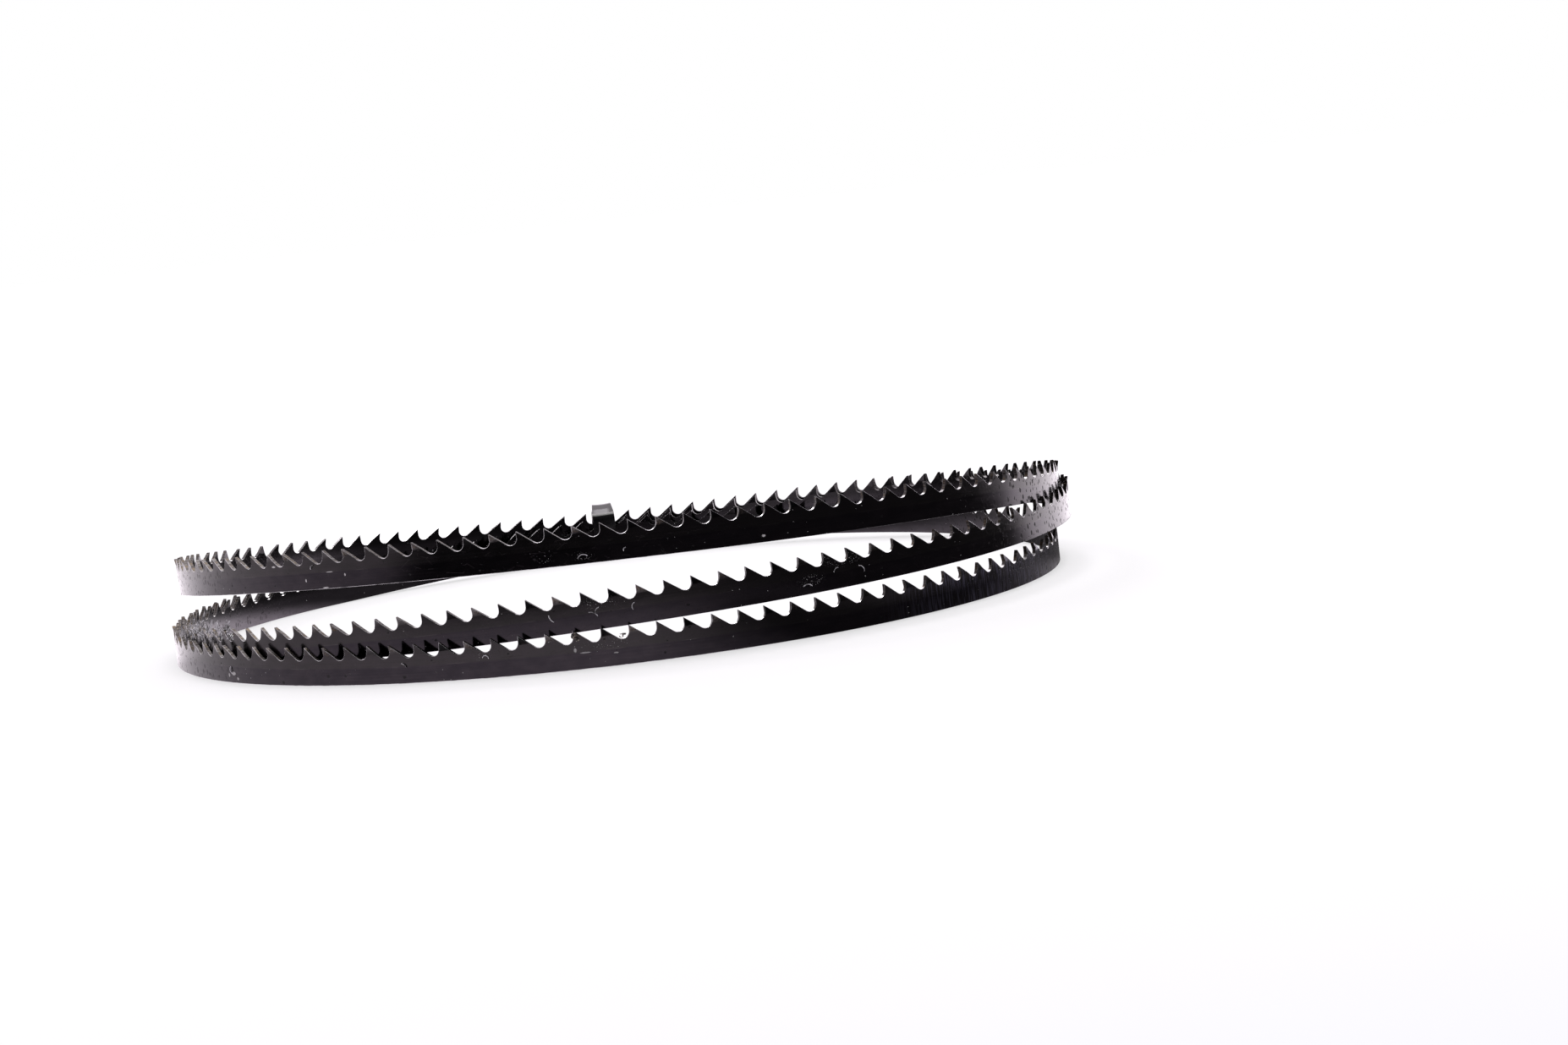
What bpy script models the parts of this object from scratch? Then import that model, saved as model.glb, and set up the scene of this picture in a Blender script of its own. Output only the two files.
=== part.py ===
"""Band saw blade, folded into three loops and held by a strap.

Metres, +Z up. The origin is under the middle of the part, on the surface that it lies on.
The endless toothed band is laid along one closed course of three turns, and a flat strap
holds its three strands together at the back.
"""

import math

import bmesh
import bpy
import numpy as np

# Steel band, with six teeth to the inch
BLADE_WIDTH = 0.0060
BLADE_THICKNESS = 0.0006
TOOTH_PITCH = 0.0042333
TOOTH_COUNT = 336
TOOTH_DEPTH = 0.00205
GULLET_RADIUS = 0.00105
GULLET_STEPS = 4

# Raker set: one tooth bent in, one left straight, one bent out
TOOTH_SET = 0.00025
SET_HEIGHT = 0.0012
SET_PATTERN = (-1, 0, 1)

# Coil: strands side by side lie one lane apart, and strands one above the other one width apart.
# The origin is under the middle of the whole, and the strap adds to the coil's back, so the
# coil's own axis stands a little in front of it.
TURNS = 3
LANE_GAP = 0.0004
FIRST_TOOTH_SHIFT = 0.0021
COIL_AXIS = (-0.0003, -0.0013, 0.0)

# Strap
STRAP_WIDTH = 0.0042
STRAP_THICKNESS = 0.0008
STRAP_SLACK = 0.0007
STRAP_FLOOR_GAP = 0.0001
STRAP_AZIMUTH = math.radians(92.0)
STRAP_OVERLAP = 0.0035
STRAP_LAYER_GAP = 0.0001
STRAP_RAMP = 0.0016
STRAP_CORNER_STEPS = 4

# The strap passes under the strands at the back, so they rest this far off the surface there, in
# blade widths. The middle strand is lifted a little above the inner one.
MIDDLE_LIFT = 0.0003
BACK_REST = (STRAP_THICKNESS + STRAP_SLACK + STRAP_FLOOR_GAP) / BLADE_WIDTH
MIDDLE_REST = BACK_REST + MIDDLE_LIFT / BLADE_WIDTH

# Each turn of the course starts at the right end and runs by the front, the left end and the
# back. A station every eighth of a turn gives the height of the band's back edge, in blade
# widths, and its lane, where 0 is the coil's mean radius and positive is outwards.
COURSE = (
    ((1.65, 0.10), (2.35, -0.40), (2.60, -0.75), (2.40, -0.85),
     (1.80, -0.40), (1.00, 0.95), (0.45, 1.20), (0.85, 1.30)),
    ((1.20, 1.10), (1.17, 0.55), (0.95, -0.10), (0.50, -0.30),
     (0.10, -0.65), (0.00, -1.30), (BACK_REST, -1.30), (0.15, -1.30)),
    ((0.00, -0.85), (0.00, -0.05), (0.00, 1.10), (0.00, 1.10),
     (0.00, 0.60), (0.05, -0.20), (MIDDLE_REST, -0.30), (0.85, -0.05)),
)
COURSE_SAMPLES = 4800
LENGTH_ROUNDS = 4

STEEL_COLOUR = (0.030, 0.028, 0.033, 1.0)
STRAP_COLOUR = (0.012, 0.012, 0.013, 1.0)


def clear_scene():
    for old in list(bpy.data.objects):
        bpy.data.objects.remove(old, do_unlink=True)


def make_material(name, colour, roughness, metallic):
    material = bpy.data.materials.new(name)
    material.use_nodes = True
    surface = material.node_tree.nodes["Principled BSDF"]
    surface.inputs["Base Color"].default_value = colour
    surface.inputs["Roughness"].default_value = roughness
    surface.inputs["Metallic"].default_value = metallic
    return material


def make_object(name, shape, material):
    """One object from a bmesh made round the coil's axis, shaded smooth up to a crease angle."""
    bmesh.ops.translate(shape, vec=COIL_AXIS, verts=shape.verts)
    bmesh.ops.recalc_face_normals(shape, faces=shape.faces)
    mesh = bpy.data.meshes.new(name)
    shape.to_mesh(mesh)
    shape.free()
    mesh.materials.append(material)
    mesh.shade_smooth()
    mesh.set_sharp_from_angle(angle=math.radians(25))
    made = bpy.data.objects.new(name, mesh)
    bpy.context.scene.collection.objects.link(made)
    return made


def between_stations(values, turn):
    """A smooth closed curve through one value for each station, read at a place in turns."""
    values = np.asarray(values)
    count = len(values)
    place = np.mod(np.asarray(turn, dtype=float) * count / TURNS, count)
    index = np.floor(place).astype(int) % count
    part = place - np.floor(place)
    before, start, end, after = (values[(index + shift) % count] for shift in (-1, 0, 1, 2))
    rise = (end - before) / 2
    fall = (after - start) / 2
    return (
        (2 * part**3 - 3 * part**2 + 1) * start
        + (part**3 - 2 * part**2 + part) * rise
        + (3 * part**2 - 2 * part**3) * end
        + (part**3 - part**2) * fall
    )


class Course:
    """The line that the band's back edge follows, measured along its own length."""

    def __init__(self):
        stations = [station for turn in COURSE for station in turn]
        lane_pitch = BLADE_THICKNESS + 2 * TOOTH_SET + LANE_GAP
        self.heights = [height * BLADE_WIDTH for height, _ in stations]
        self.offsets = [lane * lane_pitch for _, lane in stations]
        self.radius = TOOTH_COUNT * TOOTH_PITCH / (2 * math.pi * TURNS)
        self.turns = np.linspace(0, TURNS, COURSE_SAMPLES + 1)
        for _ in range(LENGTH_ROUNDS):
            points = self.at_turn(self.turns)
            steps = np.linalg.norm(np.diff(points, axis=0), axis=1)
            self.lengths = np.concatenate([[0], np.cumsum(steps)])
            missing = TOOTH_COUNT * TOOTH_PITCH - self.lengths[-1]
            self.radius += missing / (2 * math.pi * TURNS)

    def at_turn(self, turn):
        """Points on the back edge; the strand never sinks below the surface that it lies on."""
        angle = -2 * math.pi * np.asarray(turn)
        radius = self.radius + between_stations(self.offsets, turn)
        height = np.maximum(between_stations(self.heights, turn), 0.0)
        return np.stack([radius * np.cos(angle), radius * np.sin(angle), height], axis=-1)

    def frame(self, length):
        """(point, along, outward, up) at a distance along the band."""
        total = self.lengths[-1]
        turn = float(np.interp(length % total, self.lengths, self.turns))
        step = TURNS / COURSE_SAMPLES
        before, point, after = self.at_turn([turn - step, turn, turn + step])
        along = (after - before) / np.linalg.norm(after - before)
        outward = np.cross((0.0, 0.0, 1.0), along)
        outward /= np.linalg.norm(outward)
        return point, along, outward, np.cross(along, outward)


def tooth_outline():
    """(along, height, bend) of each corner from one gullet's bottom to just before the next.

    The rake face drops straight from the tip and runs into the round gullet, and the tooth's
    back is the line from the next tip that touches the gullet.
    """
    tip = BLADE_WIDTH
    centre = (GULLET_RADIUS, tip - TOOTH_DEPTH + GULLET_RADIUS)
    reach = math.hypot(TOOTH_PITCH - centre[0], tip - centre[1])
    to_tip = math.atan2(tip - centre[1], TOOTH_PITCH - centre[0])
    touch = to_tip - math.acos(GULLET_RADIUS / reach)
    start = -math.pi
    gullet = [
        (
            centre[0] + GULLET_RADIUS * math.cos(turn),
            centre[1] + GULLET_RADIUS * math.sin(turn),
        )
        for turn in np.linspace(start, touch, GULLET_STEPS + 1)
    ]
    lowest = GULLET_STEPS - 1
    touching = gullet[-1]
    bend_height = tip - SET_HEIGHT
    share = (bend_height - touching[1]) / (tip - touching[1])
    bend = (touching[0] + share * (TOOTH_PITCH - touching[0]), bend_height)
    chain = gullet[lowest:] + [bend, (TOOTH_PITCH, tip)]
    chain += [(along + TOOTH_PITCH, height) for along, height in gullet[:lowest]]
    return [(along, height, max(0.0, (height - bend_height) / SET_HEIGHT)) for along, height in chain]


def make_blade(course, material):
    """One endless strip, made tooth by tooth: two side faces, the toothed edge and the back edge."""
    shape = bmesh.new()
    outline = tooth_outline()
    half = BLADE_THICKNESS / 2
    top = []
    bottom = []
    for tooth in range(TOOTH_COUNT):
        start = FIRST_TOOTH_SHIFT + tooth * TOOTH_PITCH
        side_set = SET_PATTERN[(tooth + 1) % len(SET_PATTERN)] * TOOTH_SET
        for along, height, bend in outline:
            point, _, outward, up = course.frame(start + along)
            top.append([
                shape.verts.new(point + up * height + outward * (side * half + bend * side_set))
                for side in (-1, 1)
            ])
        point, _, outward, _ = course.frame(start + outline[0][0])
        bottom.append([shape.verts.new(point + outward * side * half) for side in (-1, 1)])
    corners = len(outline)
    for tooth in range(TOOTH_COUNT):
        first = tooth * corners
        chain = [top[(first + corner) % len(top)] for corner in range(corners + 1)]
        low, next_low = bottom[tooth], bottom[(tooth + 1) % TOOTH_COUNT]
        for side in (0, 1):
            shape.faces.new([pair[side] for pair in chain] + [next_low[side], low[side]])
        for pair, next_pair in zip(chain, chain[1:]):
            shape.faces.new([pair[0], pair[1], next_pair[1], next_pair[0]])
        shape.faces.new([low[1], low[0], next_low[0], next_low[1]])
    bmesh.ops.triangulate(shape, faces=shape.faces)
    return make_object("blade_band", shape, material)


def hull(points):
    """The corners of the convex outline round some points, anticlockwise."""
    points = sorted(points)

    def chain(ordered):
        kept = []
        for point in ordered:
            while len(kept) > 1:
                (ax, ay), (bx, by) = kept[-2:]
                if (bx - ax) * (point[1] - ay) - (by - ay) * (point[0] - ax) > 0:
                    break
                kept.pop()
            kept.append(point)
        return kept[:-1]

    return chain(points) + chain(reversed(points))


def bundle_corners(course):
    """(radius, height) of each corner of the three strands where the strap holds them."""
    corners = []
    half = BLADE_THICKNESS / 2 + TOOTH_SET
    for turn in range(TURNS):
        place = turn + 1 - STRAP_AZIMUTH / (2 * math.pi)
        point = course.at_turn(place)
        radius = math.hypot(point[0], point[1])
        for side in (-half, half):
            corners.append((radius + side, point[2]))
            corners.append((radius + side, point[2] + BLADE_WIDTH))
    return corners


def strap_line(course):
    """The strap's middle line round the bundle, with its end lapped over its start.

    It starts part of the way up the outer side, goes up, over the top and round, and comes
    back outside itself.
    """
    corners = hull(bundle_corners(course))
    outer = max(range(len(corners)), key=lambda index: (round(corners[index][0], 6), corners[index][1]))
    order = corners[outer:] + corners[:outer]
    offset = STRAP_SLACK + STRAP_THICKNESS / 2
    side_radius = order[0][0] + offset
    lap_offset = STRAP_THICKNESS + STRAP_LAYER_GAP
    end_height = order[0][1]
    start_height = end_height - STRAP_OVERLAP
    line = [(side_radius, start_height)]
    for index, corner in enumerate(order):
        before = order[index - 1]
        after = order[(index + 1) % len(order)]
        first = math.atan2(before[0] - corner[0], corner[1] - before[1])
        last = math.atan2(corner[0] - after[0], after[1] - corner[1])
        while last < first:
            last += 2 * math.pi
        for turn in np.linspace(first, last, STRAP_CORNER_STEPS + 1):
            line.append((corner[0] + offset * math.cos(turn), corner[1] + offset * math.sin(turn)))
    line.append((side_radius, start_height - STRAP_RAMP))
    line.append((side_radius + lap_offset, start_height - STRAP_LAYER_GAP))
    line.append((side_radius + lap_offset, end_height))
    return line


def beside(line, distance):
    """The line moved sideways by a distance, square to its direction at each point."""
    line = np.asarray(line)
    ahead = np.diff(line, axis=0)
    ahead /= np.linalg.norm(ahead, axis=1)[:, None]
    moved = []
    for index, point in enumerate(line):
        one = ahead[max(index - 1, 0)]
        two = ahead[min(index, len(ahead) - 1)]
        square = np.array([one[1] + two[1], -one[0] - two[0]])
        square /= 1 + one @ two
        moved.append(point + square * distance)
    return moved


def make_strap(course, material):
    """The strap's edge outline, drawn square to the strands and extruded across its width."""
    shape = bmesh.new()
    line = strap_line(course)
    outline = beside(line, STRAP_THICKNESS / 2) + beside(line, -STRAP_THICKNESS / 2)[::-1]
    outward = np.array([math.cos(STRAP_AZIMUTH), math.sin(STRAP_AZIMUTH), 0.0])
    across = np.array([math.sin(STRAP_AZIMUTH), -math.cos(STRAP_AZIMUTH), 0.0])
    rows = []
    for side in (-0.5, 0.5):
        rows.append([
            shape.verts.new(outward * radius + across * side * STRAP_WIDTH + np.array([0, 0, height]))
            for radius, height in outline
        ])
    count = len(outline)
    half = count // 2
    for row in rows:
        for index in range(half - 1):
            shape.faces.new([row[index], row[index + 1], row[count - 2 - index], row[count - 1 - index]])
    for index in range(count):
        after = (index + 1) % count
        shape.faces.new([rows[0][index], rows[0][after], rows[1][after], rows[1][index]])
    return make_object("strap_tie", shape, material)


def build():
    clear_scene()
    course = Course()
    steel = make_material("dark_carbon_steel", STEEL_COLOUR, 0.42, 0.85)
    plastic = make_material("black_plastic", STRAP_COLOUR, 0.35, 0.0)
    make_blade(course, steel)
    make_strap(course, plastic)


build()
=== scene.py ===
"""Band saw blade folded into three loops: its looks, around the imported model."""

import math

import bpy
import numpy as np
from mathutils import Matrix, Vector


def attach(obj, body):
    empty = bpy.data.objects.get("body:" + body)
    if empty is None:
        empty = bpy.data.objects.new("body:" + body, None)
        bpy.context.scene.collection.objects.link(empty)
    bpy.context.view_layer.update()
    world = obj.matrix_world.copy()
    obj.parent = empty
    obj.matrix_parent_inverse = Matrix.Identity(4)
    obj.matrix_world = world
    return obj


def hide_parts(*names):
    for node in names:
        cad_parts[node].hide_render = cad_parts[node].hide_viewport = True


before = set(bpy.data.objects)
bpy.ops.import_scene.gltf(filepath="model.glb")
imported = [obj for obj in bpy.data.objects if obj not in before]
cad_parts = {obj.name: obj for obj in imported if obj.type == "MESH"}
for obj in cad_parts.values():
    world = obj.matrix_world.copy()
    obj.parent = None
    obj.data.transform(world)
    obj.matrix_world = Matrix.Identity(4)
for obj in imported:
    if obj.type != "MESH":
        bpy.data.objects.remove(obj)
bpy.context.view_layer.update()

bpy.context.scene.view_settings.view_transform = "Standard"
bpy.ops.object.select_all(action="DESELECT")

# Camera
# It stands close to the floor in front of the coil and looks almost level across it. The
# photographed coil leans to its left, so the camera is rolled by as much.
COIL_AXIS = Vector((-0.0003, -0.0013, 0.0))
ELEVATION = math.radians(6.861)
DISTANCE = 0.63416
SIDESTEP = Vector((-0.000194, 0, 0))
PAN = math.radians(2.587)
TILT = math.radians(0.952)
ROLL = math.radians(6.782)
LENS_MM = 84.66
SENSOR_MM = 36.0

sight = Vector((0, math.cos(ELEVATION), -math.sin(ELEVATION)))
right = Vector((1, 0, 0))
aim = (sight + math.tan(PAN) * right + math.tan(TILT) * right.cross(sight)).normalized()
level = aim.cross(right.cross(sight)).normalized()
head = level.cross(aim)
side = math.cos(ROLL) * level - math.sin(ROLL) * head
top = math.sin(ROLL) * level + math.cos(ROLL) * head
camera_data = bpy.data.cameras.new("camera")
camera_data.lens = LENS_MM
camera_data.sensor_width = SENSOR_MM
camera_data.clip_start = 0.01
camera = bpy.data.objects.new("camera", camera_data)
bpy.context.scene.collection.objects.link(camera)
turned = Matrix((side, top, -aim)).transposed().to_4x4()
camera.matrix_world = Matrix.Translation(COIL_AXIS + SIDESTEP - sight * DISTANCE) @ turned
bpy.context.scene.camera = camera


# Studio
# A white floor and a white room behind the coil. In front and to the right the room is dark, so
# the band's outer side, which faces there, mirrors black and turns white towards its ends.
class Wire:
    """A socket that plain Python sums can use: each operator adds the Math node it stands for."""

    def __init__(self, sheet, socket):
        self.sheet = sheet
        self.socket = socket

    def maths(self, operation, *values):
        return self.sheet.maths(operation, *values)

    def __add__(self, other):
        return self.maths("ADD", self, other)

    def __sub__(self, other):
        return self.maths("SUBTRACT", self, other)

    def __rsub__(self, other):
        return self.maths("SUBTRACT", other, self)

    def __mul__(self, other):
        return self.maths("MULTIPLY", self, other)

    def __truediv__(self, other):
        return self.maths("DIVIDE", self, other)

    def __pow__(self, other):
        return self.maths("POWER", self, other)

    __radd__ = __add__
    __rmul__ = __mul__

    def rise(self, start, end, low=0.0, high=1.0):
        """A soft step from low, where this is at start, to high, where it is at end."""
        settings = {"interpolation_type": "SMOOTHSTEP"}
        return self.sheet.add("MapRange", settings, self, start, end, low, high)


class Sheet:
    """The shader nodes of one finish, emptied first."""

    def __init__(self, owner):
        owner.use_nodes = True
        self.owner = owner
        self.tree = owner.node_tree
        self.tree.nodes.clear()

    def add(self, kind, settings=None, *values, out=0, **named):
        """One node: its type, its settings, then the values or wires of its sockets."""
        node = self.tree.nodes.new("ShaderNode" + kind)
        for name, value in (settings or {}).items():
            if name == "stops":
                ramp = node.color_ramp
                while len(ramp.elements) < len(value):
                    ramp.elements.new(0.5)
                for element, (place, colour) in zip(ramp.elements, value):
                    element.position = place
                    element.color = (*colour, 1)
            else:
                setattr(node, name, value)
        for name, value in [*enumerate(values), *named.items()]:
            socket = node.inputs[name.replace("_", " ") if isinstance(name, str) else name]
            if isinstance(value, Wire):
                self.tree.links.new(value.socket, socket)
            elif value is not None:
                socket.default_value = value
        return Wire(self, node.outputs[out])

    def maths(self, operation, *values):
        return self.add("Math", {"operation": operation}, *values)

    def blend(self, share, start, end):
        """A colour between two, by a share. The node's sockets for numbers and vectors stay unused."""
        unused = (None,) * 5
        return self.add("Mix", {"data_type": "RGBA"}, share, *unused, start, end, out=2)

    def parts(self, vector):
        """The X, Y and Z of a vector, as three wires."""
        node = self.add("SeparateXYZ", None, vector).socket.node
        return [Wire(self, output) for output in node.outputs]

    def finish(self, surface, kind="Material"):
        output = self.tree.nodes.new("ShaderNodeOutput" + kind)
        self.tree.links.new(surface.socket, output.inputs[0])


BRIGHT_SIDE = math.radians(115)
WINDOW = math.radians(48)
WINDOW_EDGE = (0.88, 0.94)
WINDOW_LIGHT = 1.9
ROOM_STOPS = ((0.0, (0.022, 0.022, 0.025)), (0.34, (0.12, 0.12, 0.13)), (0.64, (1.18, 1.10, 1.17)))
ROOM_WHITE = (1.0, 1.0, 1.0, 1.0)

world = bpy.data.worlds.new("studio")
bpy.context.scene.world = world
room = Sheet(world)
east, north, _ = room.parts(room.add("TexCoord", out="Generated"))
towards = east * math.cos(BRIGHT_SIDE) + north * math.sin(BRIGHT_SIDE)
walls = room.add("ValToRGB", {"stops": ROOM_STOPS}, towards * 0.5 + 0.5)
window = (east * math.cos(WINDOW) + north * math.sin(WINDOW)).rise(*WINDOW_EDGE, 1.0, WINDOW_LIGHT)
lighting = room.add("Background", None, walls, window)
white = room.add("Background", None, ROOM_WHITE, 1.0)
seen = room.add("LightPath", out="Is Camera Ray")
room.finish(room.add("MixShader", None, seen, lighting, white), "World")

# The floor is plain paper to the eye, which keeps the coil's shadow. The band mirrors it brighter or
# darker by the place: FLOOR_NEAR_RADIUS parts the floor beside the coil from the floor further out.
FLOOR_SIZE = 8.0
FLOOR_DROP = 0.00002
FLOOR_COLOUR = (0.80, 0.79, 0.82, 1.0)
FLOOR_WHITE = (1.06, 1.06, 1.06, 1)
FRONT_WHITE = (0.955, 0.955, 1.0, 1)
MIRRORED_WHITE = (1.08, 1.0, 1.07, 1)
SHADOW_SHARE = 0.45
SHADOW_REACH = (0.20, 0.50)
FLOOR_NEAR_RADIUS = 0.1175
FRONT_BULGE = 0.028
RIGHT_DENT = 0.013
NEAR_BLUR = 0.009
DARKENING = 0.92

bpy.ops.mesh.primitive_plane_add(size=FLOOR_SIZE)
floor = bpy.context.object
floor.name = "floor"
floor.location.z = -FLOOR_DROP
paper = Sheet(bpy.data.materials.new("white_floor"))
floor.data.materials.append(paper.owner)
east, north, _ = paper.parts(paper.add("TexCoord", out="Object"))
reach = (east * east + north * north) ** 0.5


def facing(azimuth):
    """How far a place on the floor lies in a direction, as the cosine of the angle between."""
    return (east * math.cos(math.radians(azimuth)) + north * math.sin(math.radians(azimuth))) / reach


def off_line(x, y, azimuth):
    """How far a place on the floor lies to the left of a line through a point."""
    turn = math.radians(azimuth)
    return (north - y) * math.cos(turn) - (east - x) * math.sin(turn)


def spot(x, y, edge, core):
    """A soft round spot on the floor."""
    return (((east - x) ** 2 + (north - y) ** 2) ** 0.5).rise(edge, core)


def most(first, second):
    """The stronger of two masks."""
    return paper.maths("MAXIMUM", first, second)


near_limit = FLOOR_NEAR_RADIUS + facing(255).rise(0.55, 0.85) * FRONT_BULGE
near_limit = near_limit - facing(0).rise(0.3, 0.7) * RIGHT_DENT
near = (near_limit - reach).rise(-NEAR_BLUR, NEAR_BLUR)
dark_front = facing(292).rise(0.22, 0.44) * (1 - near)
dark_right = facing(-20).rise(0.30, 0.70) * near
dark_inside = most(spot(0.016, 0.025, 0.048, 0.020), spot(0.004, -0.022, 0.040, 0.018))
dark_back = facing(98).rise(0.57, 0.84) * facing(140).rise(0.30, 0.60) * reach.rise(0.080, 0.074)
lit_right = off_line(0.0627, -0.0420, 27).rise(-0.014, 0.016) * east.rise(0.02, 0.06)
lit_right = lit_right * (1 - near) + lit_right * near * facing(-40).rise(0.80, 0.98, 0.0, 0.30)
lit_left = facing(120).rise(-0.15, 0.55, -0.30, 0.06) + facing(120).rise(0.60, 0.98, 0.0, 0.45)
lit_left = lit_left * (1 - near) + facing(150).rise(0.74, 0.90) * near * 0.55
lit_left = lit_left * east.rise(0.0, -0.04)
dark = most(most(dark_front, dark_right) * (1 - lit_right), most(dark_inside, dark_back))
lit = (1 + lit_left + lit_right * (1 - near) * (WINDOW_LIGHT - 1)) * (1 - dark * DARKENING)
seen = paper.add("LightPath", out="Is Camera Ray")
mirrored = paper.add("LightPath", out="Is Glossy Ray")
through = paper.add("LightPath", out="Is Transmission Ray")
white = paper.blend(north.rise(-0.26, -0.40), FLOOR_WHITE, FRONT_WHITE)
white = paper.blend(mirrored, white, MIRRORED_WHITE)
glow = paper.add("Emission", None, white, 1 + mirrored * (lit - 1))
plain = paper.add("BsdfDiffuse", None, FLOOR_COLOUR)
shown = seen * (1 - SHADOW_SHARE * (1 - reach.rise(*SHADOW_REACH))) + mirrored + through * 0.9
paper.finish(paper.add("MixShader", None, shown, plain, glow))

# One soft box hangs above the coil and one stands behind it.
LAMPS = (
    # name, place, target, size, power, colour
    ("top_softbox", (0.15, 0.30, 1.10), (0, 0, 0), 0.90, 9.0, (1.0, 0.99, 0.98)),
    ("back_softbox", (-0.35, 0.95, 0.55), (0, 0, 0), 0.30, 5.0, (1.0, 0.98, 1.0)),
)
for name, place, target, size, power, colour in LAMPS:
    lamp = bpy.data.lights.new(name, "AREA")
    lamp.shape = "SQUARE"
    lamp.size = size
    lamp.energy = power
    lamp.color = colour
    holder = bpy.data.objects.new(name, lamp)
    holder.location = place
    holder.rotation_euler = (Vector(target) - Vector(place)).to_track_quat("-Z", "Y").to_euler()
    holder.visible_camera = False
    bpy.context.scene.collection.objects.link(holder)

# Band
# Carbon steel strip with six teeth to the inch milled into one edge. Of every three teeth one is
# bent out, one in and one is left straight. The strip is welded into an endless band, hardened
# along its teeth, blackened, and folded into three loops.
WIDTH = 0.0060
THICKNESS = 0.0006
PITCH = 0.0042333
TEETH = 336
TOOTH_DEPTH = 0.00205
GULLET_RADIUS = 0.00105
SET = 0.00025
SET_HEIGHT = 0.0012
BEND_ROUND = 0.00024
SET_PATTERN = (0, 1, -1)
FIRST_TOOTH_SHIFT = 0.0021
EDGE_BREAK = 0.00006
SAME_POINT = 0.000005
CUT_SNAP = 0.00002


def edit(*steps):
    """Runs each step in edit mode, with all of the active mesh selected at first."""
    bpy.ops.object.mode_set(mode="EDIT")
    bpy.ops.mesh.select_all(action="SELECT")
    for step in steps:
        step()
    bpy.ops.object.mode_set(mode="OBJECT")


def draw_to(east, up):
    """Extrudes the selected corner into a straight edge."""
    bpy.ops.mesh.extrude_region_move(TRANSFORM_OT_translate={"value": (east, 0, up)})


gullet_floor = WIDTH - TOOTH_DEPTH
centre_height = gullet_floor + GULLET_RADIUS
to_tip = math.atan2(WIDTH - centre_height, PITCH - GULLET_RADIUS)
touch = to_tip - math.acos(GULLET_RADIUS / math.hypot(PITCH - GULLET_RADIUS, WIDTH - centre_height))
touch_point = (GULLET_RADIUS * (1 + math.cos(touch)), centre_height + GULLET_RADIUS * math.sin(touch))


def draw_tooth():
    """One tooth's side view, from the bottom of one gullet to the bottom of the next."""
    bpy.ops.mesh.merge(type="CENTER")
    bpy.ops.transform.translate(value=(GULLET_RADIUS, 0, gullet_floor))
    bpy.ops.mesh.spin(
        steps=4, angle=touch + math.pi / 2, center=(GULLET_RADIUS, 0, centre_height), axis=(0, 1, 0)
    )
    draw_to(PITCH - touch_point[0], WIDTH - touch_point[1])
    draw_to(0, centre_height - WIDTH)
    bpy.ops.mesh.spin(
        steps=8, angle=math.pi / 2, center=(PITCH + GULLET_RADIUS, 0, centre_height), axis=(0, 1, 0)
    )
    draw_to(0, -gullet_floor)
    draw_to(-PITCH, 0)
    bpy.ops.mesh.select_all(action="SELECT")
    bpy.ops.mesh.edge_face_add()
    bpy.ops.transform.translate(value=(0, -THICKNESS / 2, 0))
    bpy.ops.mesh.extrude_region_move(TRANSFORM_OT_translate={"value": (0, THICKNESS, 0)})
    cuts = [((GULLET_RADIUS + PITCH * share, 0, 0), (1, 0, 0)) for share in (1 / 3, 2 / 3)]
    cuts += [((0, 0, WIDTH - SET_HEIGHT - below), (0, 0, 1)) for below in (0, BEND_ROUND)]
    for place, square in cuts:
        bpy.ops.mesh.select_all(action="SELECT")
        bpy.ops.mesh.bisect(plane_co=place, plane_no=square, threshold=CUT_SNAP)


def select_ends(mesh, ends):
    """Selects the faces that close the strip at the given distances along it."""
    bpy.ops.object.mode_set(mode="OBJECT")
    for face in mesh.polygons:
        places = [mesh.vertices[corner].co.x for corner in face.vertices]
        face.select = any(all(abs(place - end) < SAME_POINT for place in places) for end in ends)
    bpy.ops.object.mode_set(mode="EDIT")


bpy.ops.mesh.primitive_plane_add(size=THICKNESS)
band = bpy.context.object
band.name = "band"
edit(draw_tooth)
edit(
    lambda: bpy.ops.mesh.select_mode(type="FACE"),
    lambda: select_ends(band.data, (GULLET_RADIUS, GULLET_RADIUS + PITCH)),
    lambda: bpy.ops.mesh.delete(type="FACE"),
    lambda: bpy.ops.mesh.select_mode(type="VERT"),
)
teeth = [band]
for step in (1, 2):
    bpy.ops.object.select_all(action="DESELECT")
    band.select_set(True)
    bpy.context.view_layer.objects.active = band
    bpy.ops.object.duplicate()
    bpy.ops.transform.translate(value=(step * PITCH, 0, 0))
    bpy.ops.object.transform_apply(location=True)
    teeth.append(bpy.context.object)
for tooth, lean in zip(teeth, SET_PATTERN):
    for corner in tooth.data.vertices:
        corner.co.y += lean * SET * max(0.0, (corner.co.z - WIDTH + SET_HEIGHT) / SET_HEIGHT)
    tooth.select_set(True)
bpy.context.view_layer.objects.active = band
bpy.ops.object.join()
edit(
    lambda: bpy.ops.mesh.remove_doubles(threshold=SAME_POINT),
    lambda: bpy.ops.mesh.normals_make_consistent(inside=False),
)
repeat = band.modifiers.new("teeth", "ARRAY")
repeat.count = TEETH // len(SET_PATTERN)
repeat.use_relative_offset = False
repeat.use_constant_offset = True
repeat.constant_offset_displace = (len(SET_PATTERN) * PITCH, 0, 0)
repeat.use_merge_vertices = True
repeat.merge_threshold = SAME_POINT
broken = band.modifiers.new("broken edges", "BEVEL")
broken.width = EDGE_BREAK
broken.segments = 2
broken.limit_method = "ANGLE"
broken.angle_limit = math.radians(40)
broken.harden_normals = True
bpy.ops.object.shade_smooth()
for modifier in ("teeth", "broken edges"):
    bpy.ops.object.modifier_apply(modifier=modifier)

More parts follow.
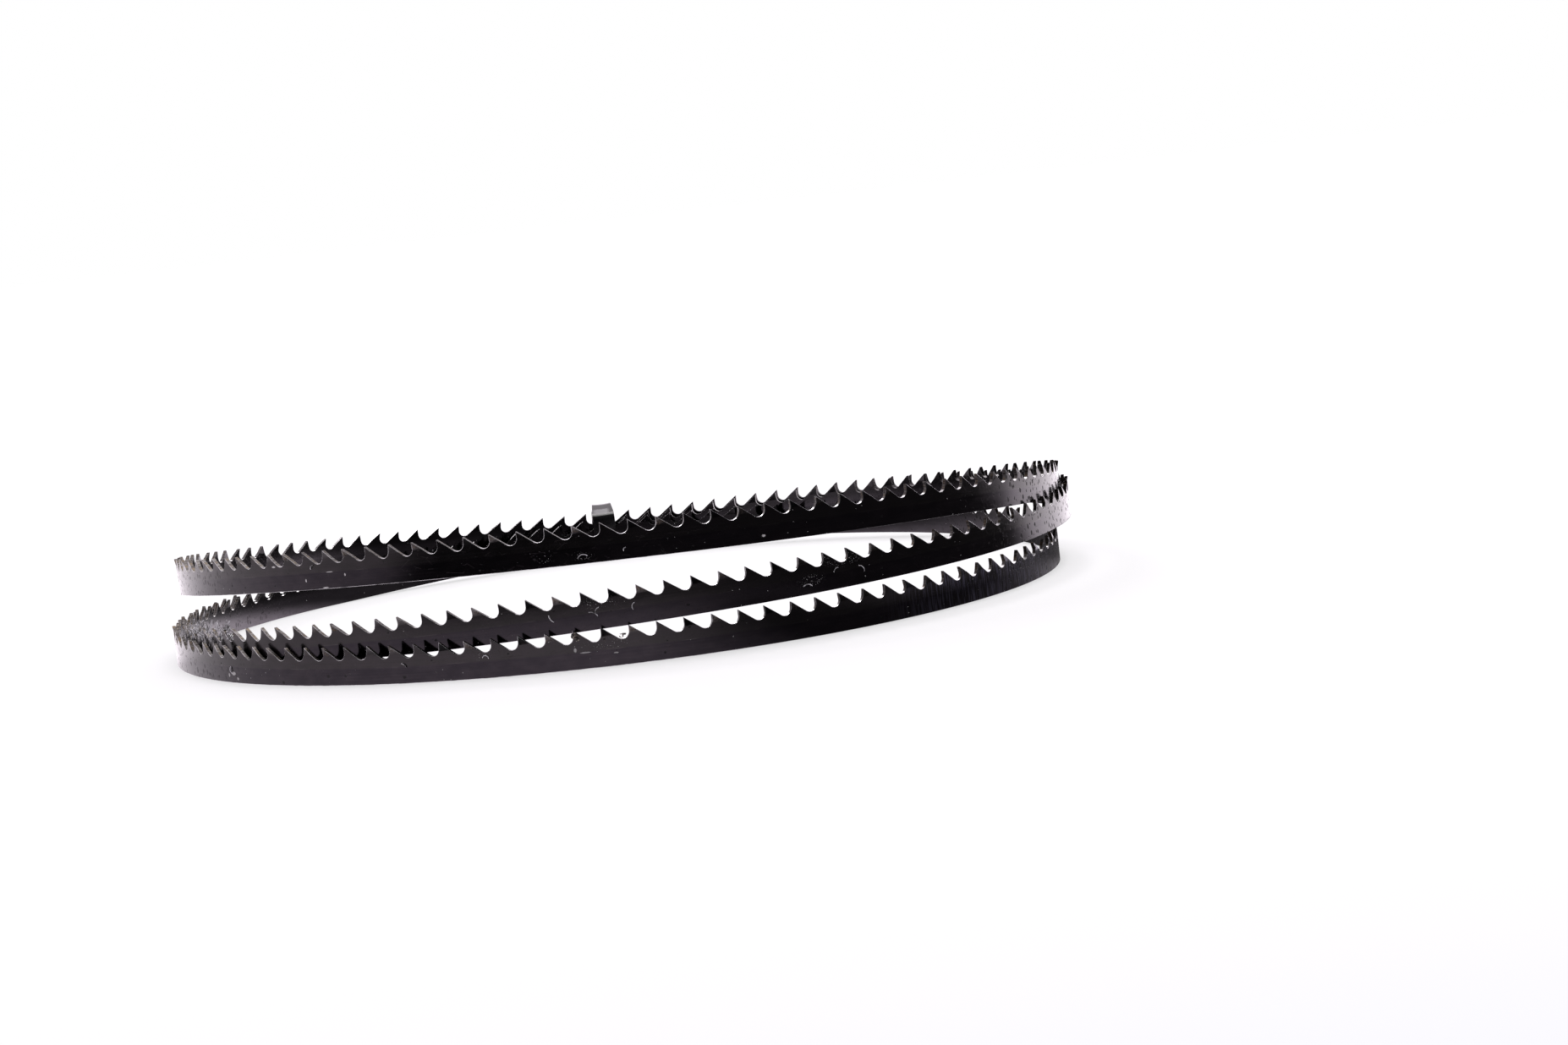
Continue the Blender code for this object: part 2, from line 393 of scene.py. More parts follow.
# The course that the strip is laid along, in three turns. Each turn has a station every eighth:
# the height of the strip's back edge in strip widths, and its lane outwards from the mean radius.
STRAP_THICKNESS = 0.0008
STRAP_SLACK = 0.0007
STRAP_FLOOR_GAP = 0.0001
BACK_REST = (STRAP_THICKNESS + STRAP_SLACK + STRAP_FLOOR_GAP) / WIDTH
MIDDLE_LIFT = 0.05
LANE_PITCH = THICKNESS + 2 * SET + 0.0004
COURSE = (
    ((1.65, 0.10), (2.35, -0.40), (2.60, -0.75), (2.40, -0.85),
     (1.80, -0.40), (1.00, 0.95), (0.45, 1.20), (0.85, 1.30)),
    ((1.20, 1.10), (1.17, 0.55), (0.95, -0.10), (0.50, -0.30),
     (0.10, -0.65), (0.00, -1.30), (BACK_REST, -1.30), (0.15, -1.30)),
    ((0.00, -0.85), (0.00, -0.05), (0.00, 1.10), (0.00, 1.10),
     (0.00, 0.60), (0.05, -0.20), (BACK_REST + MIDDLE_LIFT, -0.30), (0.85, -0.05)),
)
TURNS = len(COURSE)
SAMPLES = 4800
LENGTH_ROUNDS = 4
length = TEETH * PITCH
mean_radius = length / (2 * math.pi * TURNS)


def between_stations(values, turn):
    """A smooth closed curve through one value for each station, read at a place in turns."""
    count = len(values)
    place = np.mod(turn * count / TURNS, count)
    index = np.floor(place).astype(int) % count
    part = place - np.floor(place)
    before, start, end, after = (values[(index + shift) % count] for shift in (-1, 0, 1, 2))
    rise = (end - before) / 2
    fall = (after - start) / 2
    return (
        (2 * part**3 - 3 * part**2 + 1) * start
        + (part**3 - 2 * part**2 + part) * rise
        + (3 * part**2 - 2 * part**3) * end
        + (part**3 - part**2) * fall
    )


stations = np.array([station for turn in COURSE for station in turn])


def back_edge(turn):
    """Points on the band's back edge, for places in turns. The band runs clockwise from above."""
    angle = -2 * math.pi * turn
    radius = mean_radius + LANE_PITCH * between_stations(stations[:, 1], turn)
    height = np.maximum(WIDTH * between_stations(stations[:, 0], turn), 0)
    return np.stack([radius * np.cos(angle), radius * np.sin(angle), height], axis=-1)


turns = np.linspace(0, TURNS, SAMPLES + 1)
for _ in range(LENGTH_ROUNDS):
    steps = np.linalg.norm(np.diff(back_edge(turns), axis=0), axis=1)
    lengths = np.concatenate([[0], np.cumsum(steps)])
    mean_radius += (length - lengths[-1]) / (2 * math.pi * TURNS)


def along_course(distance):
    """(point, along, outward, up) at distances along the band, as arrays."""
    turn = np.interp(np.mod(distance, lengths[-1]), lengths, turns)
    step = TURNS / SAMPLES
    along = back_edge(turn + step) - back_edge(turn - step)
    along /= np.linalg.norm(along, axis=1)[:, None]
    outward = np.cross((0.0, 0.0, 1.0), along)
    outward /= np.linalg.norm(outward, axis=1)[:, None]
    return back_edge(turn), along, outward, np.cross(along, outward)


mesh = band.data
flat = np.empty(3 * len(mesh.vertices))
mesh.vertices.foreach_get("co", flat)
flat = flat.reshape(-1, 3)
owners = np.empty(len(mesh.loops), int)
mesh.loops.foreach_get("vertex_index", owners)
normals = np.empty(3 * len(mesh.loops))
mesh.corner_normals.foreach_get("vector", normals)
normals = normals.reshape(-1, 3)
strip = mesh.uv_layers.new(name="strip")
strip.uv.foreach_set("vector", flat[owners][:, (0, 2)].ravel())
faces_to = mesh.uv_layers.new(name="facing")
faces_to.uv.foreach_set("vector", normals[:, (1, 2)].ravel())
point, along, outward, up = along_course(flat[:, 0] + FIRST_TOOTH_SHIFT)
laid = np.array(COIL_AXIS) + point + outward * flat[:, 1:2] + up * flat[:, 2:3]
mesh.vertices.foreach_set("co", laid.ravel())
laid_normals = along[owners] * normals[:, 0:1] + outward[owners] * normals[:, 1:2]
laid_normals = laid_normals + up[owners] * normals[:, 2:3]
mesh.update()
mesh.normals_split_custom_set(laid_normals.tolist())
edit(lambda: bpy.ops.mesh.remove_doubles(threshold=SAME_POINT))

# The finish reads the strip's own map: how far along the band a spot lies, how high it lies above
# the back edge, and which way it faces in the flat strip. All patterns are sized in metres.
PATTERN_SHIFT = (7.3, 3.7)
OTHER_SIDE_SHIFT = 41
steel = Sheet(bpy.data.materials.new("blackened_steel"))
mesh.materials.clear()
mesh.materials.append(steel.owner)
run, rise, _ = steel.parts(steel.add("UVMap", {"uv_map": "strip"}))
sideways, _, _ = steel.parts(steel.add("UVMap", {"uv_map": "facing"}))
east, north, _ = steel.parts(steel.add("TexCoord", out="Object"))
outside = sideways.rise(0.35, 0.75)
inside = (sideways * -1).rise(0.35, 0.75)
rim = 1 - outside - inside
face_side = sideways.rise(-0.5, 0.5)


def cell_place(along, across, layer):
    """The place on the strip, counted in pattern cells of a length and a height."""
    cells_along = run / along + layer * PATTERN_SHIFT[0]
    cells_up = rise / across + face_side * OTHER_SIDE_SHIFT + layer * PATTERN_SHIFT[1]
    return steel.add("CombineXYZ", None, cells_along, cells_up)


def grain(along, across, detail, layer=0):
    """Soft noise whose marks are about so long and so high."""
    place = cell_place(along, across, layer)
    return steel.add("TexNoise", {"noise_dimensions": "2D"}, Vector=place, Scale=1.0, Detail=detail)


def specks(along, across, share, size, layer=0):
    """Spots in a share of the cells of a pattern, each about so large a part of its cell."""
    settings = {"feature": "F1", "voronoi_dimensions": "2D"}
    cells = steel.add("TexVoronoi", settings, Vector=cell_place(along, across, layer), Scale=1.0)
    chance, girth, _ = steel.parts(Wire(steel, cells.socket.node.outputs["Color"]))
    spots = (cells / (girth * size + 0.3 * size)).rise(1.0, 0.6)
    return spots * chance.rise(1 - share, 1.02 - share)


def hairlines(along, across, width, share, layer=0):
    """Thin curved scratches: stretches of the borders between large cells."""
    settings = {"feature": "DISTANCE_TO_EDGE", "voronoi_dimensions": "2D"}
    borders = steel.add("TexVoronoi", settings, Vector=cell_place(along, across, layer), Scale=1.0)
    stretches = grain(along * 0.7, across * 0.7, 1, layer + 3).rise(1 - share, 1.02 - share)
    return borders.rise(width, width * 0.3) * stretches


def smears(marks):
    """Soft patches on the strip's outer side: how far along, how high, how long and how tall."""
    smeared = 0.0
    for along, height, length, tall in marks:
        far = ((run - along) / length) ** 2 + ((rise - height) / tall) ** 2
        smeared = far.rise(1.0, 0.0) * outside + smeared
    return smeared


# Rolling has left fine lines along the strip. The toothed third is hardened: it is duller, and a
# broken bright line marks where it ends.
HARD_LIMIT = 0.00262
HARD_BLUR = 0.0003
HARD_LINE = 0.00005
rolled = grain(0.040, 0.00011, 3)
mottled = grain(0.0030, 0.0014, 4)
above_limit = rise - (HARD_LIMIT + (grain(0.020, 1.0, 2) - 0.5) * HARD_BLUR)
hardened = (above_limit / HARD_BLUR).rise(-0.5, 0.5)
hard_line = ((above_limit / HARD_LINE) ** 2).rise(1.0, 0.0) * grain(0.006, 1.0, 3).rise(0.52, 0.62)

# Teeth: the cutter has left bare, finely ribbed faces in the gullets and on the teeth's backs, and
# the tips that are bent out are rubbed bright. So are the broken edges, which face halfway between a
# side and the rim. The gullets' bottoms towards the coil's right get a painted highlight, and at the
# back of the coil a painted shade keeps all of these dull.
RUBBED_BELOW_TIP = (0.00135, 0.00080)
HALFWAY = 0.55
pitches = (run - GULLET_RADIUS) / PITCH
tooth_luck = steel.add("TexWhiteNoise", {"noise_dimensions": "1D"}, W=steel.maths("FLOOR", pitches))
in_three = pitches - steel.maths("FLOOR", pitches / 3) * 3
bent_out = in_three.rise(0.98, 1.02) * in_three.rise(2.02, 1.98)
tip = rise + (grain(0.0005, 0.0005, 2) - 0.5) * 0.0012
tip = tip.rise(WIDTH - RUBBED_BELOW_TIP[0], WIDTH - RUBBED_BELOW_TIP[1])
bright_tip = tip * outside * (bent_out + tooth_luck.rise(0.45, 0.9) * 0.6)
# Painted shade: towards the back of the coil the milled faces, gullets' bottoms and rubbed edges are
# dulled.
shaded_back = north.rise(0.020, 0.045)
ribbed = grain(0.00026, 0.00026, 1, 5)
milled = rim * rise.rise(gullet_floor - 0.00012, gullet_floor + 0.00002)
bared = milled * (0.85 - shaded_back * 0.65) + bright_tip * 0.8
# Painted highlight: the gullets' bottoms are coloured near white, more so towards the coil's right.
gullet_glint = milled * rise.rise(gullet_floor + 0.00036, gullet_floor + 0.00010) * (1 - shaded_back)
gullet_glint = gullet_glint * east.rise(-0.045, 0.0, 0.08, 1.0) * ribbed.rise(0.35, 0.5, 0.3, 0.9)
worn = (1 - (sideways * sideways - HALFWAY) ** 2 * 4).rise(0.2, 0.9) * (1 - shaded_back * 0.8)
worn = worn * grain(0.0018, 0.0009, 2, 6).rise(0.30, 0.6, 0.25, 0.9) * sideways.rise(-0.4, 0.2, 0.2, 1.0)

# Use has left scratches, pits that gather at the coil's two ends, long streaks and dark stains on
# the lowest turn's right end, and dust in patches, in single specks and in a few scuffs.
DEEP_PITS = (
    # along, height, length, tall
    (1.1229, 0.0005, 0.00040, 0.00034), (1.1128, 0.0015, 0.00045, 0.00030),
    (1.0985, 0.0010, 0.00042, 0.00028), (0.6990, 0.0030, 0.00050, 0.00030),
    (0.2200, 0.0024, 0.00060, 0.00032), (0.2245, 0.0010, 0.00045, 0.00024),
)
DUST_PATCHES = (
    # along, height, length, tall
    (0.1216, 0.0012, 0.0022, 0.0010), (0.1272, 0.0016, 0.0018, 0.0016),
    (0.5985, 0.0042, 0.0045, 0.0016), (0.5595, 0.0045, 0.0050, 0.0016),
    (0.5654, 0.0020, 0.0030, 0.0014), (1.0758, 0.0046, 0.0040, 0.0004),
    (1.0659, 0.0036, 0.0050, 0.0012), (1.0852, 0.0035, 0.0020, 0.0010),
)
SCUFFS = (
    # along, height, length, tall
    (1.1365, 0.0015, 0.0008, 0.00040), (1.1353, 0.0007, 0.0004, 0.00030),
    (1.1380, 0.0012, 0.0003, 0.00040), (1.0709, 0.0030, 0.0003, 0.00045),
    (1.0694, 0.0025, 0.0011, 0.00014), (1.0648, 0.0020, 0.0005, 0.00014),
    (0.1692, 0.0015, 0.0002, 0.00035), (0.1652, 0.0002, 0.0008, 0.00016),
    (0.1610, 0.0020, 0.0002, 0.00030), (0.1763, 0.0040, 0.0006, 0.00020),
    (0.0937, 0.0010, 0.0004, 0.00026), (0.1640, 0.0026, 0.0009, 0.00010),
)
scratched = hairlines(0.0045, 0.0030, 0.010, 0.42) + hairlines(0.0021, 0.0016, 0.016, 0.40, 7)
ends = east.rise(0.056, 0.066) + east.rise(-0.056, -0.072) * 0.6
pitted = specks(0.00090, 0.00120, 0.36, 0.36) * (ends * 0.96 + 0.04)
pitted = pitted + specks(0.00060, 0.00100, 0.28, 0.28, 4) * ends
pitted = pitted + specks(0.0040, 0.0030, 0.30, 0.055, 2) + smears(DEEP_PITS)
streaked = grain(0.00030, 0.0040, 2, 12).rise(0.45, 0.65) * outside
streaked = streaked * run.rise(0.956, 0.966) * run.rise(1.024, 1.004)
stained = grain(0.00110, 0.0050, 3, 14).rise(0.46, 0.60) * outside
stained = stained * run.rise(0.958, 0.964) * run.rise(1.004, 0.984)
fluff = specks(0.00042, 0.00034, 0.40, 0.17, 6) + specks(0.00024, 0.00030, 0.30, 0.20, 9)
dusty = specks(0.0011, 0.0009, 0.16, 0.09, 1) * grain(0.010, 0.006, 2, 2).rise(0.50, 0.62)
dusty = dusty + smears(DUST_PATCHES) * fluff + smears(SCUFFS) * 1.6

WELD_PLACE = 0.379
WELD_REACH = 0.0035
BODY = (0.030, 0.0265, 0.0315, 1)
HARD_BODY = (0.038, 0.0355, 0.0365, 1)
INSIDE_BODY = (0.100, 0.092, 0.102, 1)
INSIDE_TOOTHED_BODY = (0.036, 0.034, 0.036, 1)
ROLLED = (0.058, 0.050, 0.056, 1)
STAIN = (0.010, 0.010, 0.013, 1)
STREAK = (0.150, 0.145, 0.200, 1)
HEAT_TINT = (0.110, 0.080, 0.055, 1)
BARE = (0.095, 0.089, 0.087, 1)
BRONZE = (0.078, 0.060, 0.042, 1)
BETWEEN_RIBS = (0.030, 0.025, 0.023, 1)
# Near white: the rubbed edges, and the painted highlight in the gullets' bottoms.
RUBBED_AND_GLINT = (0.86, 0.85, 0.87, 1)
DIRT = (0.0045, 0.0040, 0.0040, 1)
DUST = (0.50, 0.49, 0.49, 1)
weld = (((run - WELD_PLACE) / WELD_REACH) ** 2).rise(1.0, 0.2) * outside
bare = steel.blend(grain(0.0012, 0.0008, 3, 8).rise(0.42, 0.62), BARE, BRONZE)
bare = steel.blend(ribbed.rise(0.42, 0.60), bare, BETWEEN_RIBS)
skin = steel.blend(hardened, BODY, HARD_BODY)
# The inner side is lighter than the outer, and darker again towards its teeth.
skin = steel.blend(inside, skin, steel.blend(rise.rise(0.0026, 0.0042), INSIDE_BODY, INSIDE_TOOTHED_BODY))
skin = steel.blend((rolled - 0.5) * 0.8 + (mottled - 0.5) * 0.9 + 0.15, skin, ROLLED)
skin = steel.blend(hard_line * 0.5, skin, BARE)
skin = steel.blend(stained * 0.75, skin, STAIN)
skin = steel.blend(streaked * 0.85, skin, STREAK)
skin = steel.blend(weld * 0.6, skin, HEAT_TINT)
skin = steel.blend(bared + scratched * outside * 0.25, skin, bare)
skin = steel.blend(worn, skin, RUBBED_AND_GLINT)
skin = steel.blend(gullet_glint, skin, RUBBED_AND_GLINT)
dullness = 0.115 + hardened * 0.045 + (mottled - 0.5) * 0.09 + (rolled - 0.5) * 0.07 + bared * 0.18
height = rolled * 0.15 + mottled * 0.3 - pitted * 1.5 + ribbed * milled * 2.0 - scratched * 0.4
relief = steel.add("Bump", Strength=0.35, Distance=0.00002, Height=height)
surface = steel.add("BsdfPrincipled", Base_Color=skin, Metallic=1.0, Roughness=dullness, Normal=relief)
dirt = steel.add("BsdfPrincipled", Base_Color=steel.blend(dusty, DIRT, DUST), Roughness=0.85)
steel.finish(steel.add("MixShader", None, pitted * 0.85 + dusty * 0.8, surface, dirt))
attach(band, "root")
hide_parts("blade_band")

# Strap
# A strap of black plastic, rounded along its edges. It goes round the three strands at the back,
# pulled tight over their corners, and its end is lapped over its start on the outer side.
STRAP_WIDTH = 0.0042
STRAP_AZIMUTH = math.radians(92.0)
STRAP_OVERLAP = 0.0035
STRAP_LAYER_GAP = 0.0001
STRAP_RAMP = 0.0016
STRAP_CORNER_STEPS = 6
STRAP_EDGE_ROUND = 0.00028
STRAP_STRIPS = 8
STRAP_CUP = 0.00012
STRAP_TAPER = 0.14
TAPER_DEPTH = 0.003
TAPER_HEIGHT = 0.002
TAPER_FADE = 0.0015


def hull(points):
    """The corners of the convex outline round some points, anticlockwise."""
    points = sorted(points)

    def chain(ordered):
        kept = []
        for point in ordered:
            while len(kept) > 1:
                (ax, ay), (bx, by) = kept[-2:]
                if (bx - ax) * (point[1] - ay) - (by - ay) * (point[0] - ax) > 0:
                    break
                kept.pop()
            kept.append(point)
        return kept[:-1]

    return chain(points) + chain(reversed(points))


held_corners = []
for turn in range(TURNS):
    held = back_edge(np.array([turn + 1 - STRAP_AZIMUTH / (2 * math.pi)]))[0]
    for side in (-THICKNESS / 2 - SET, THICKNESS / 2 + SET):
        held_corners += [(math.hypot(*held[:2]) + side, held[2] + tall) for tall in (0, WIDTH)]
corners = hull(held_corners)
outer = max(corners, key=lambda corner: (round(corner[0], 6), corner[1]))
corners = corners[corners.index(outer):] + corners[:corners.index(outer)]
stand_off = STRAP_SLACK + STRAP_THICKNESS / 2
side_radius = corners[0][0] + stand_off
lap_height = corners[0][1] - STRAP_OVERLAP
lap_radius = side_radius + STRAP_THICKNESS + STRAP_LAYER_GAP
strap_line = [(side_radius, lap_height)]
for index, corner in enumerate(corners):
    before = corners[index - 1]
    after = corners[(index + 1) % len(corners)]
    first = math.atan2(before[0] - corner[0], corner[1] - before[1])
    last = math.atan2(corner[0] - after[0], after[1] - corner[1])
    while last < first:
        last += 2 * math.pi
    for angle in np.linspace(first, last, STRAP_CORNER_STEPS + 1):
        radius = corner[0] + stand_off * math.cos(angle)
        strap_line.append((radius, corner[1] + stand_off * math.sin(angle)))
strap_line += [
    (side_radius, lap_height - STRAP_RAMP),
    (lap_radius, lap_height - STRAP_LAYER_GAP),
    (lap_radius, corners[0][1]),
]
strap_out = Vector((math.cos(STRAP_AZIMUTH), math.sin(STRAP_AZIMUTH), 0))
strap_across = Vector((math.sin(STRAP_AZIMUTH), -math.cos(STRAP_AZIMUTH), 0))


def strap_place(radius, height, across=0.0):
    """A place in the strap's own section, and across its width, in the coil's frame."""
    return COIL_AXIS + strap_out * radius + strap_across * across + Vector((0, 0, height))


def draw_strap():
    """The strap's line along one edge, then its width in strips."""
    bpy.ops.mesh.merge(type="CENTER")
    bpy.ops.transform.translate(value=strap_place(*strap_line[0], -STRAP_WIDTH / 2))
    for start, end in zip(strap_line, strap_line[1:]):
        bpy.ops.mesh.extrude_region_move(
            TRANSFORM_OT_translate={"value": strap_place(*end) - strap_place(*start)}
        )
    bpy.ops.mesh.select_all(action="SELECT")
    for _ in range(STRAP_STRIPS):
        bpy.ops.mesh.extrude_region_move(
            TRANSFORM_OT_translate={"value": strap_across * STRAP_WIDTH / STRAP_STRIPS}
        )
    bpy.ops.mesh.select_all(action="SELECT")
    bpy.ops.mesh.normals_make_consistent(inside=False)


bpy.ops.mesh.primitive_plane_add(size=THICKNESS)
strap = bpy.context.object
strap.name = "strap"
edit(draw_strap)

# The strap's edges stand a little proud of its middle, and its top narrows away from the front.
strap_top = max(height for _, height in strap_line)
strap_middle = (corners[0][0] + corners[len(corners) // 2][0]) / 2
for corner in strap.data.vertices:
    place = corner.co - COIL_AXIS
    across = place.dot(strap_across)
    share = 2 * across / STRAP_WIDTH
    towards_back = min(1.0, max(0.0, (place.dot(strap_out) - strap_middle) / TAPER_DEPTH + 0.5))
    near_top = min(1.0, max(0.0, (place.z - strap_top + TAPER_HEIGHT) / TAPER_FADE))
    corner.co += corner.normal * STRAP_CUP * share**2
    corner.co -= strap_across * across * STRAP_TAPER * towards_back * near_top
walls = strap.modifiers.new("wall", "SOLIDIFY")
walls.thickness = STRAP_THICKNESS
walls.offset = 0
walls.use_even_offset = True
rounded = strap.modifiers.new("rounded edges", "BEVEL")
rounded.width = STRAP_EDGE_ROUND
rounded.segments = 4
rounded.limit_method = "ANGLE"
rounded.angle_limit = math.radians(60)
bpy.ops.object.shade_smooth()
for modifier in ("wall", "rounded edges"):
    bpy.ops.object.modifier_apply(modifier=modifier)
bpy.ops.object.select_all(action="DESELECT")

# The plastic is deep black and glossy. Just below its top, where it bends over the strands' teeth,
# a dull grey band is painted on as a highlight, but not along its edges.
HIGHLIGHT_OFF_CENTRE = 0.12
PLASTIC_BLACK = (0.004, 0.004, 0.0045, 1)
HIGHLIGHT_GREY = (0.160, 0.156, 0.166, 1)
plastic = Sheet(bpy.data.materials.new("glossy_black_plastic"))
strap.data.materials.append(plastic.owner)
place = plastic.add("TexCoord", out="Object")
east, _, height = plastic.parts(place)
mottle = plastic.add("TexNoise", Vector=place, Scale=1400.0, Detail=3.0)
middle = strap_place(0, 0).x + strap_out.x * strap_middle
off_middle = plastic.maths("ABSOLUTE", (east - middle) / (STRAP_WIDTH / 2) + HIGHLIGHT_OFF_CENTRE)
below_top = strap_top - height + (mottle - 0.5) * 0.0002
# Painted highlight: a grey, less glossy band just below the strap's top, kept off its edges.
painted_highlight = below_top.rise(0.00115, 0.00080) * below_top.rise(0.00010, 0.00036)
painted_highlight = painted_highlight * off_middle.rise(0.92, 0.45)
shade = plastic.blend(painted_highlight * 0.9, PLASTIC_BLACK, HIGHLIGHT_GREY)
dullness = 0.13 + painted_highlight * 0.2 + (mottle - 0.5) * 0.06
relief = plastic.add("Bump", Strength=0.15, Distance=0.00002, Height=mottle)
plastic.finish(plastic.add(
    "BsdfPrincipled", Base_Color=shade, Metallic=0.0, Roughness=dullness, Normal=relief,
))
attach(strap, "root")
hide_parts("strap_tie")

# Lint and hairs
# Grey lint has caught in the middle turn's teeth at the coil's left end, and a few hairs cling to
# the band's outer side. Each is a thin round thread, bent as it fell.
FIBRE_WIDTH = 0.00015
FIBRE_KNOTS = 5
LINT_FIBRES = 200
LINT_ALONG = (0.6700, 0.6915)
LINT_HEIGHT = (0.0040, 0.0058)
LINT_DEPTH = (-0.0009, 0.0006)
LINT_LENGTH = (0.0010, 0.0026)
LINT_SLANT = (-50, 50)
LINT_BEND = (-280, 280)
LINT_SPANS = (LINT_ALONG, LINT_DEPTH, LINT_HEIGHT, LINT_DEPTH, LINT_LENGTH)
HAIR_ARCH = 0.0002
HAIRS = (
    # along, height, length, heading, bend
    (0.1222, 0.0004, 0.0026, 75, 190), (0.1151, 0.0012, 0.0011, 20, 200),
    (0.6005, 0.0026, 0.0020, 150, 120), (0.5989, 0.0022, 0.0017, 40, 160),
    (0.6053, 0.0020, 0.0017, 20, 80), (0.5614, 0.0024, 0.0016, 60, 170),
    (0.5575, 0.0028, 0.0020, 160, 140), (0.5654, 0.0008, 0.0022, 80, -150),
    (0.5931, 0.0022, 0.0018, 10, 190), (0.1676, 0.0030, 0.0013, 60, 150),
    (1.0850, 0.0028, 0.0022, 60, 260), (1.0980, 0.0022, 0.0014, 100, -120),
    (1.1365, 0.0015, 0.0016, 10, 140),
)


def on_strip(along, outwards, height):
    """Places beside the laid band, from places beside the flat strip."""
    point, _, outward, up = along_course(np.array(along) + FIRST_TOOTH_SHIFT)
    beside = outward * np.array(outwards)[:, None] + up * np.array(height)[:, None]
    return np.array(COIL_AXIS) + point + beside


def lay_fibre(along, outwards, height, length, heading, bend):
    """A thread from a place on the strip, heading up it at an angle and bending by another."""
    bpy.ops.curve.primitive_nurbs_path_add()
    thread = bpy.context.object
    thread.data.resolution_u = 3
    thread.data.bevel_depth = FIBRE_WIDTH / 2
    thread.data.bevel_resolution = 0
    thread.data.use_fill_caps = True
    slopes = np.radians(heading + bend * np.arange(FIBRE_KNOTS) / FIBRE_KNOTS)
    steps_along = np.cumsum(np.cos(slopes)) * length / FIBRE_KNOTS
    steps_up = np.cumsum(np.sin(slopes)) * length / FIBRE_KNOTS
    places = on_strip(along + steps_along, outwards, height + steps_up)
    for knot, place in zip(thread.data.splines[0].points, places):
        knot.co = (*place, 1)
    bpy.ops.object.select_all(action="DESELECT")
    return thread


dice = np.random.RandomState(11)
threads = []
for _ in range(LINT_FIBRES):
    start, depth, height, reach_out, length = (dice.uniform(*span) for span in LINT_SPANS)
    outwards = np.linspace(depth, reach_out, FIBRE_KNOTS)
    heading = dice.choice((0, 180)) + dice.uniform(*LINT_SLANT)
    threads.append(lay_fibre(start, outwards, height, length, heading, dice.uniform(*LINT_BEND)))
clinging = THICKNESS / 2 + FIBRE_WIDTH / 2 + HAIR_ARCH * np.sin(np.linspace(0, math.pi, FIBRE_KNOTS))
for along, height, length, heading, bend in HAIRS:
    threads.append(lay_fibre(along, clinging, height, length, heading, bend))
for thread in threads:
    thread.select_set(True)
bpy.context.view_layer.objects.active = threads[0]
bpy.ops.object.join()
bpy.ops.object.convert(target="MESH")
lint = bpy.context.object
lint.name = "lint"
bpy.ops.object.shade_smooth()

LINT_PALE = (0.72, 0.71, 0.74, 1)
LINT_DARK = (0.12, 0.115, 0.12, 1)
wool = Sheet(bpy.data.materials.new("grey_lint"))
lint.data.materials.clear()
lint.data.materials.append(wool.owner)
tangle = wool.add("TexNoise", Vector=wool.add("TexCoord", out="Object"), Scale=900.0, Detail=2.0)
shade = wool.blend(tangle.rise(0.35, 0.6), LINT_DARK, LINT_PALE)
wool.finish(wool.add("BsdfPrincipled", Base_Color=shade, Roughness=0.55 + tangle * 0.2))
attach(lint, "root")

# Swarf
# Curled steel chips and crumbs of oily dirt, left by cutting, stick to neighbouring teeth of the
# lowest turn. A chip is a thin ribbon of steel, rolled up as the tooth cut it.
CHIP_WIDTH = 0.00045
CHIP_RADIUS = 0.00032
CHIP_THICKNESS = 0.00007
CHIPS = (
    # along, outwards, height, curl, turn about the upright
    (1.0640, 0.0001, 0.00440, 300, 20),
    (1.0668, 0.0000, 0.00430, 200, -35),
    (1.0632, 0.0002, 0.00480, 160, 70),
)
LUMP_ROUGHNESS = 0.35
LUMPS = (
    # along, outwards, height, radius
    (1.0708, 0.0001, 0.00520, 0.00048),
    (1.0704, 0.0002, 0.00465, 0.00036),
    (1.0664, 0.0001, 0.00420, 0.00026),
)


def curl_chip(curl):
    """A ribbon's end edge, then the ribbon, rolled by an angle."""
    bpy.ops.mesh.merge(type="CENTER")
    bpy.ops.mesh.extrude_region_move(TRANSFORM_OT_translate={"value": (0, CHIP_WIDTH, 0)})
    bpy.ops.mesh.select_all(action="SELECT")
    bpy.ops.mesh.spin(steps=12, angle=math.radians(curl), center=(CHIP_RADIUS, 0, 0), axis=(0, 1, 0))
    bpy.ops.mesh.select_all(action="SELECT")


